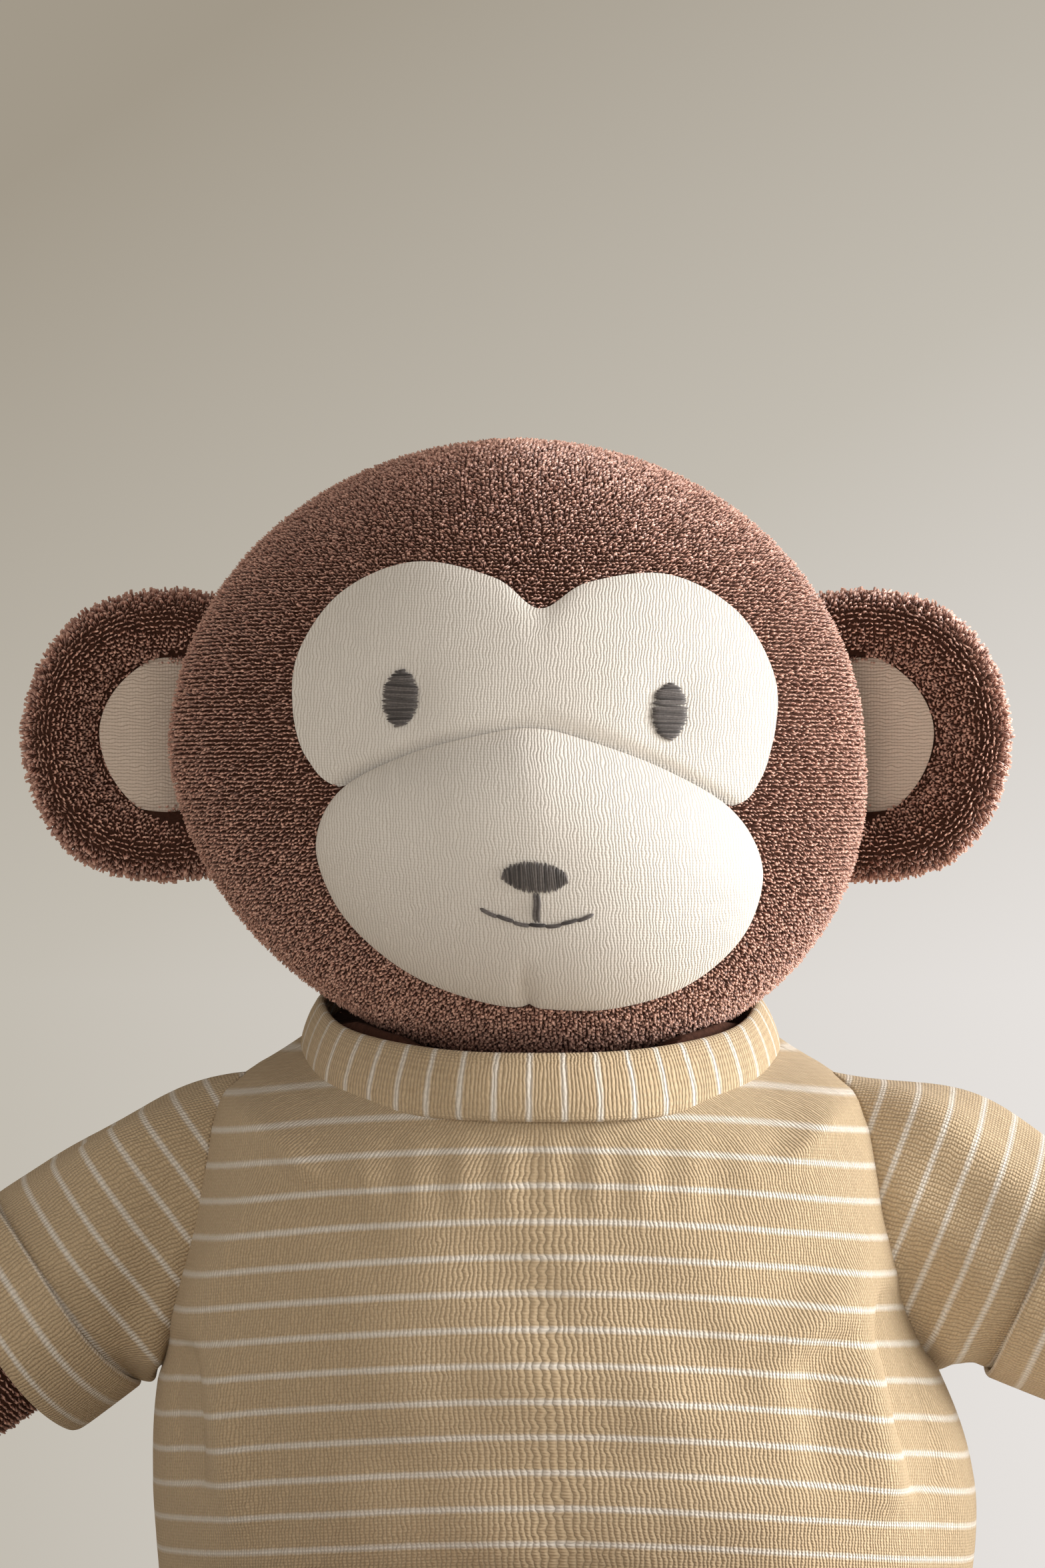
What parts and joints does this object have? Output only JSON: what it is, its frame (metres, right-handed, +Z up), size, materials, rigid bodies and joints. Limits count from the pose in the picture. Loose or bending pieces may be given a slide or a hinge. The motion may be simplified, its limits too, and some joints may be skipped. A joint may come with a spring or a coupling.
{
  "type": "stuffed monkey",
  "caption": "Sitting stuffed monkey toy of brown terry with a cream face and ears, in a striped T-shirt; head, ears, arms, legs and tail move on soft joints.",
  "frame": {"origin": "on the flat underside of the seat panel, straight below the middle of the neck", "axes": "+Z up, the face looks along -Y, the toy's left side is +X"},
  "size_m": [0.3669, 0.3317, 0.2895],
  "materials": {
    "brown_terry": "brown looped cotton terry",
    "cream_jersey": "fine cream cotton jersey",
    "striped_jersey": "tan cotton jersey with thin white stripes",
    "striped_rib": "tan knitted collar band with white stripes across it",
    "tape": "woven hook and loop tape",
    "charcoal_thread": "charcoal embroidery thread",
    "fibre_fill": "white polyester fibre filling"
  },
  "bodies": {
    "torso": {"seat_panel": "brown_terry", "torso_skin": "brown_terry", "torso_filling": "fibre_fill", "shirt_front": "striped_jersey", "shirt_back_left": "striped_jersey", "shirt_back_right": "striped_jersey", "back_placket": "striped_jersey", "hook_tape": "tape", "loop_tape": "tape", "collar_band": "striped_rib"},
    "neck": {"neck_tube": "brown_terry", "neck_filling": "fibre_fill"},
    "head": {"head_front": "brown_terry", "head_back": "brown_terry", "head_filling": "fibre_fill", "face_mask": "cream_jersey", "muzzle_skin": "cream_jersey", "muzzle_padding": "fibre_fill", "left_eye": "charcoal_thread", "right_eye": "charcoal_thread", "nose": "charcoal_thread", "philtrum_stitch": "charcoal_thread", "mouth_stitches": "charcoal_thread"},
    "left_ear": {"left_ear_back": "brown_terry", "left_ear_front": "brown_terry", "left_ear_lining": "cream_jersey", "left_ear_wadding": "fibre_fill"},
    "left_arm": {"left_arm_skin": "brown_terry", "left_arm_filling": "fibre_fill", "left_sleeve": "striped_jersey", "left_cuff": "striped_jersey"},
    "left_leg": {"left_leg_skin": "brown_terry", "left_leg_filling": "fibre_fill", "left_foot_sole": "cream_jersey"},
    "right_ear": {"right_ear_back": "brown_terry", "right_ear_front": "brown_terry", "right_ear_lining": "cream_jersey", "right_ear_wadding": "fibre_fill"},
    "right_arm": {"right_arm_skin": "brown_terry", "right_arm_filling": "fibre_fill", "right_sleeve": "striped_jersey", "right_cuff": "striped_jersey"},
    "right_leg": {"right_leg_skin": "brown_terry", "right_leg_filling": "fibre_fill", "right_foot_sole": "cream_jersey"},
    "tail": {"tail_skin": "brown_terry", "tail_filling": "fibre_fill"}
  },
  "joints": [
    {"name": "neck_nod", "type": "hinge", "parent": "torso", "child": "neck", "pos_m": [0, -0.004, 0.185], "axis": [1, 0, 0], "range_deg": [-3, 8], "stiffness_Nm_per_rad": 4},
    {"name": "head_turn", "type": "hinge", "parent": "neck", "child": "head", "pos_m": [-0.0047, -0.008, 0.226], "axis": [0, 0, 1], "range_deg": [-25, 25], "stiffness_Nm_per_rad": 0.8},
    {"name": "left_ear_fold", "type": "hinge", "parent": "head", "child": "left_ear", "pos_m": [0.0672, 0.002, 0.23], "axis": [0, 0, 1], "range_deg": [-20, 20], "stiffness_Nm_per_rad": 0.05},
    {"name": "right_ear_fold", "type": "hinge", "parent": "head", "child": "right_ear", "pos_m": [-0.0766, 0.002, 0.23], "axis": [0, 0, -1], "range_deg": [-20, 20], "stiffness_Nm_per_rad": 0.05},
    {"name": "left_arm_lift", "type": "hinge", "parent": "torso", "child": "left_arm", "pos_m": [0.079, 0, 0.131], "axis": [0, -1, 0], "range_deg": [-28, 62], "stiffness_Nm_per_rad": 0.4, "deforming": ["left_sleeve", "left_cuff"]},
    {"name": "right_arm_lift", "type": "hinge", "parent": "torso", "child": "right_arm", "pos_m": [-0.079, 0, 0.131], "axis": [0, 1, 0], "range_deg": [-13, 77], "stiffness_Nm_per_rad": 0.4, "deforming": ["right_sleeve", "right_cuff"]},
    {"name": "left_leg_swing", "type": "hinge", "parent": "torso", "child": "left_leg", "pos_m": [0.04, -0.045, 0.0255], "axis": [1, 0, 0], "range_deg": [-10, 85], "stiffness_Nm_per_rad": 0.6},
    {"name": "right_leg_swing", "type": "hinge", "parent": "torso", "child": "right_leg", "pos_m": [-0.04, -0.045, 0.0255], "axis": [1, 0, 0], "range_deg": [-10, 85], "stiffness_Nm_per_rad": 0.6},
    {"name": "tail_lift", "type": "hinge", "parent": "torso", "child": "tail", "pos_m": [0, 0.0625, 0.0095], "axis": [1, 0, 0], "range_deg": [-40, 70], "stiffness_Nm_per_rad": 0.1}
  ]
}
